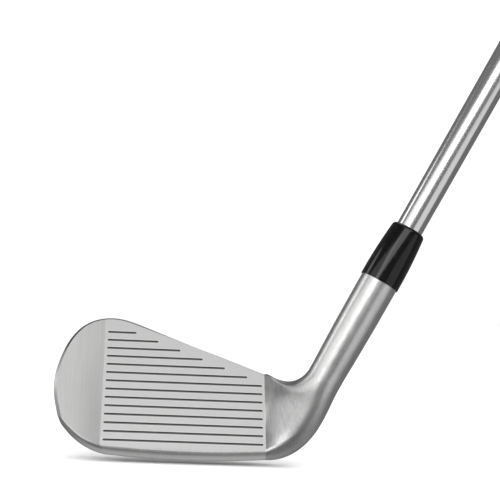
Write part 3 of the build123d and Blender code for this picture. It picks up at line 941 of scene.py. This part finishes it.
@dataclass
class Grip:
    """The rubber sleeve with its rows of small recesses, and its domed cap."""

    start: float = 674.0
    end: float = 935.0
    inner: float = 7.88
    mouth: float = 8.9
    butt: float = 13.2
    cap: float = 14.3
    vent: float = 1.5
    sides: int = 44
    row_pitch: float = 2.7
    first_row: float = 690.0
    rows: int = 86
    panel_rows: int = 20
    plain_rows: int = 3
    recess: float = 0.40
    recess_rim: float = 0.22
    flare: float = 6.0
    waist: float = 0.7
    waist_share: float = 0.62
    cap_sides: int = 72
    rib_every: int = 4
    rib_depth: float = 0.3
    rib_edge: float = 0.25

    def radius(self, distance: float) -> float:
        """The sleeve's outside radius, which swells faster towards the butt.

        Args:
            distance: millimetres up the shaft's axis.

        Returns:
            The radius in millimetres.
        """
        inside = 0.05
        share = min(max((distance - self.start) / (self.end - self.flare - self.start), 0.0), 1.0)
        if share < self.waist:
            swell = self.waist_share * share / self.waist
        else:
            above = (share - self.waist) / (1 - self.waist)
            swell = self.waist_share + (1 - self.waist_share) * above
        return self.mouth + (self.butt - self.mouth) * swell - inside

    def build_sleeve(self) -> None:
        """Models the sleeve and presses its recesses."""
        start, end, mouth, cap = self.start, self.end, self.mouth, self.cap
        rims = [
            (start, self.inner), (start, mouth - 0.9), (start + 0.5, mouth - 0.55),
            (start + 3.5, mouth - 0.2), (start + 4.2, mouth - 0.55), (start + 5.0, mouth - 0.55),
            (start + 5.7, self.radius(start + 8.0) - 0.05),
        ]
        rows = [self.first_row + i * self.row_pitch for i in range(self.rows + 1)]
        ends = [
            (end - 7.5, self.butt - 0.1), (end - 4.5, cap - 0.7), (end - 2.2, cap - 0.05),
            (end - 0.4, cap - 0.05), (end, cap - 0.4), (end, self.inner),
        ]
        stations = rims + [(row, self.radius(row)) for row in rows] + ends
        sleeve = Ringed("grip_sleeve", Slot.GRIP, self.sides, stations)
        sleeve.begin()
        sleeve.raise_rings()
        last_row = rows[-1]
        lowest = self.mouth - 0.4

        def recessed(distance: float, radius: float, turn: float) -> bool:
            """Picks every other cell of a panel, staggered from row to row.

            Args:
                distance: millimetres up the shaft's axis.
                radius: millimetres from that axis.
                turn: how far round it, from 0 to 1.

            Returns:
                Whether the cell is pressed in.
            """
            if not self.first_row < distance < last_row or radius < lowest:
                return False
            row = int((distance - self.first_row) / self.row_pitch)
            if row % self.panel_rows < self.plain_rows:
                return False
            side = int(turn * self.sides + ROUNDING)
            return (row + side) % 2 == 0

        pressed = sleeve.pick_faces(recessed)
        bpy.ops.mesh.inset(thickness=self.recess_rim * MM, depth=-self.recess * MM, use_individual=True)
        LOG.info("grip_sleeve has %d recesses", pressed)
        sleeve.finish(1, Rubber().material("grip_rubber_skin"), "grip")

    def build_cap(self) -> None:
        """Models the domed cap with its groove, its ribs and its vent."""
        base, rim = self.end, self.cap
        stations = [
            (base, self.vent), (base, rim - 0.4), (base + 0.3, rim - 0.05), (base + 1.3, rim - 0.05),
            (base + 2.4, rim - 0.5), (base + 3.4, rim - 1.4), (base + 3.75, rim - 2.6),
            (base + 3.9, 10.6), (base + 3.3, 10.3), (base + 3.3, 9.7), (base + 4.1, 9.4),
            (base + 4.5, 7.4), (base + 4.75, 5.0), (base + 4.6, 3.6), (base + 4.95, 3.2),
            (base + 4.95, 2.1), (base + 4.6, self.vent),
        ]
        dome_foot, hub, dome_edge = base + 4.2, 5.2, 9.2
        cap = Ringed("grip_end_cap", Slot.CAP, self.cap_sides, stations)
        cap.begin()
        cap.raise_rings()

        def ribbed(distance: float, radius: float, turn: float) -> bool:
            """Whether a cell lies between the cap's radial ribs."""
            on_dome = distance > dome_foot and hub < radius < dome_edge
            return on_dome and int(turn * self.cap_sides + ROUNDING) % self.rib_every < self.rib_every - 1

        cap.pick_faces(ribbed)
        bpy.ops.mesh.inset(thickness=self.rib_edge * MM, depth=-self.rib_depth * MM, use_individual=False)
        rubber = Rubber((0.014, 0.014, 0.015), (0.04, 0.04, 0.04), 0.5, 4.0)
        cap.finish(1, rubber.material("cap_rubber_skin"), "grip_cap")

    def build(self) -> None:
        """Models both pieces of the grip."""
        self.build_sleeve()
        self.build_cap()


@dataclass(frozen=True)
class Softbox:
    """One soft lamp of the studio."""

    name: str
    place: tuple[float, float, float]
    aim: tuple[float, float, float]
    width: float
    height: float
    power: float
    spread: float = 180.0

    def build(self) -> None:
        """Hangs the lamp and turns it to its aim."""
        lamp = bpy.data.lights.new(self.name, "AREA")
        lamp.shape = "RECTANGLE"
        lamp.size = self.width
        lamp.size_y = self.height
        lamp.energy = self.power
        lamp.spread = math.radians(self.spread)
        holder = bpy.data.objects.new(self.name, lamp)
        bpy.context.scene.collection.objects.link(holder)
        holder.location = self.place
        way = Vector(self.aim) - Vector(self.place)
        holder.rotation_mode = "QUATERNION"
        holder.rotation_quaternion = way.to_track_quat("-Z", "Y")
        holder.visible_camera = False


@dataclass
class Studio:
    """A pale floor, a white surround, soft lamps and the camera."""

    floor_size: float = 14.0
    floor_drop: float = 0.0002
    floor_colour: Colour = (0.96, 0.96, 0.96)
    floor_roughness: float = 0.9
    white: float = 1.12
    below: tuple[float, float, float, float] = (-0.98, -0.45, 0.5, 0.165)
    sensor: float = 36.0
    lens: float = 98.925
    clip: tuple[float, float] = (0.01, 100.0)
    eye: tuple[float, float, float] = (-0.05616, -0.47421, 0.05676)
    right: tuple[float, float, float] = (0.99454, -0.09454, 0.04420)
    up: tuple[float, float, float] = (-0.04747, -0.03254, 0.99834)
    forward: tuple[float, float, float] = (0.09294, 0.99499, 0.03685)

    def build_floor(self) -> None:
        """Lays the floor just under the sole."""
        bpy.ops.object.select_all(action="DESELECT")
        bpy.ops.mesh.primitive_plane_add(size=self.floor_size, location=(0, 0, -self.floor_drop))
        floor = bpy.context.object
        floor.name = "floor"
        bpy.ops.object.transform_apply(location=True, rotation=True, scale=True)
        material = bpy.data.materials.new("pale_floor")
        material.use_nodes = True
        shader = material.node_tree.nodes["Principled BSDF"]
        shader.inputs["Base Color"].default_value = (*self.floor_colour, 1)
        shader.inputs["Roughness"].default_value = self.floor_roughness
        floor.data.materials.append(material)
        floor.visible_glossy = False
        floor.visible_shadow = False

    def build_surround(self) -> None:
        """Makes the world white, but dark grey in reflections and lighter again straight below."""
        world = bpy.data.worlds.new("studio")
        bpy.context.scene.world = world
        world.use_nodes = True
        tree = world.node_tree
        ground = tree.nodes["Background"]
        ground.inputs["Color"].default_value = (1, 1, 1, 1)
        path = tree.nodes.new("ShaderNodeLightPath")
        way = tree.nodes.new("ShaderNodeTexCoord")
        parts = tree.nodes.new("ShaderNodeSeparateXYZ")
        tree.links.new(way.outputs["Generated"], parts.inputs[0])
        below = tree.nodes.new("ShaderNodeMapRange")
        below.interpolation_type = "SMOOTHSTEP"
        for name, number in zip(("From Min", "From Max", "To Min", "To Max"), self.below):
            below.inputs[name].default_value = number
        tree.links.new(parts.outputs[2], below.inputs["Value"])
        level = tree.nodes.new("ShaderNodeMix")
        level.data_type = "FLOAT"
        level.inputs[2].default_value = self.white
        tree.links.new(below.outputs[0], level.inputs[3])
        tree.links.new(path.outputs["Is Glossy Ray"], level.inputs[0])
        tree.links.new(level.outputs[0], ground.inputs["Strength"])

    def build_lamps(self) -> None:
        """Hangs the softboxes round the club."""
        head = (-0.03, 0.0, 0.03)
        lamps = [
            Softbox("overhead", (0.0, -0.60, 1.12), head, 1.1, 0.9, 2.0),
            Softbox("front_strip", (-0.02, -1.05, 0.60), head, 1.3, 0.42, 4.8),
            Softbox("key_left", (-0.92, -0.72, 0.36), head, 1.4, 0.95, 4.6),
            Softbox("toe_edge", (-1.05, 0.26, 0.62), (-0.06, 0.0, 0.03), 0.5, 0.5, 0.045, 26.0),
            Softbox("fill_right", (0.72, -0.66, -0.16), (0.05, 0.0, 0.12), 0.85, 0.5, 0.8),
            Softbox("back_top", (0.3, 0.9, 2.3), (0.2, 0, 0.4), 1.6, 1.0, 8.0),
        ]
        for lamp in lamps:
            lamp.build()

    def build_camera(self) -> None:
        """Stands the camera in front of the face."""
        data = bpy.data.cameras.new("camera")
        data.sensor_width = self.sensor
        data.lens = self.lens
        data.clip_start, data.clip_end = self.clip
        camera = bpy.data.objects.new("camera", data)
        bpy.context.scene.collection.objects.link(camera)
        turn = Matrix((self.right, self.up, -Vector(self.forward))).transposed()
        camera.rotation_mode = "QUATERNION"
        camera.rotation_quaternion = turn.to_quaternion()
        camera.location = self.eye
        bpy.context.scene.camera = camera

    def build(self) -> None:
        """Sets the whole studio."""
        self.build_floor()
        self.build_surround()
        self.build_lamps()
        self.build_camera()
        bpy.context.scene.view_settings.view_transform = "Standard"


def main() -> None:
    """Builds the club's looks in order."""
    logging.basicConfig(level=logging.INFO, format="%(name)s: %(message)s")
    Head().dress()
    shaft = ShaftGroup()
    shaft.build_shaft()
    shaft.dress()
    Grip().build()
    Studio().build()


if __name__ == "__main__":
    main()
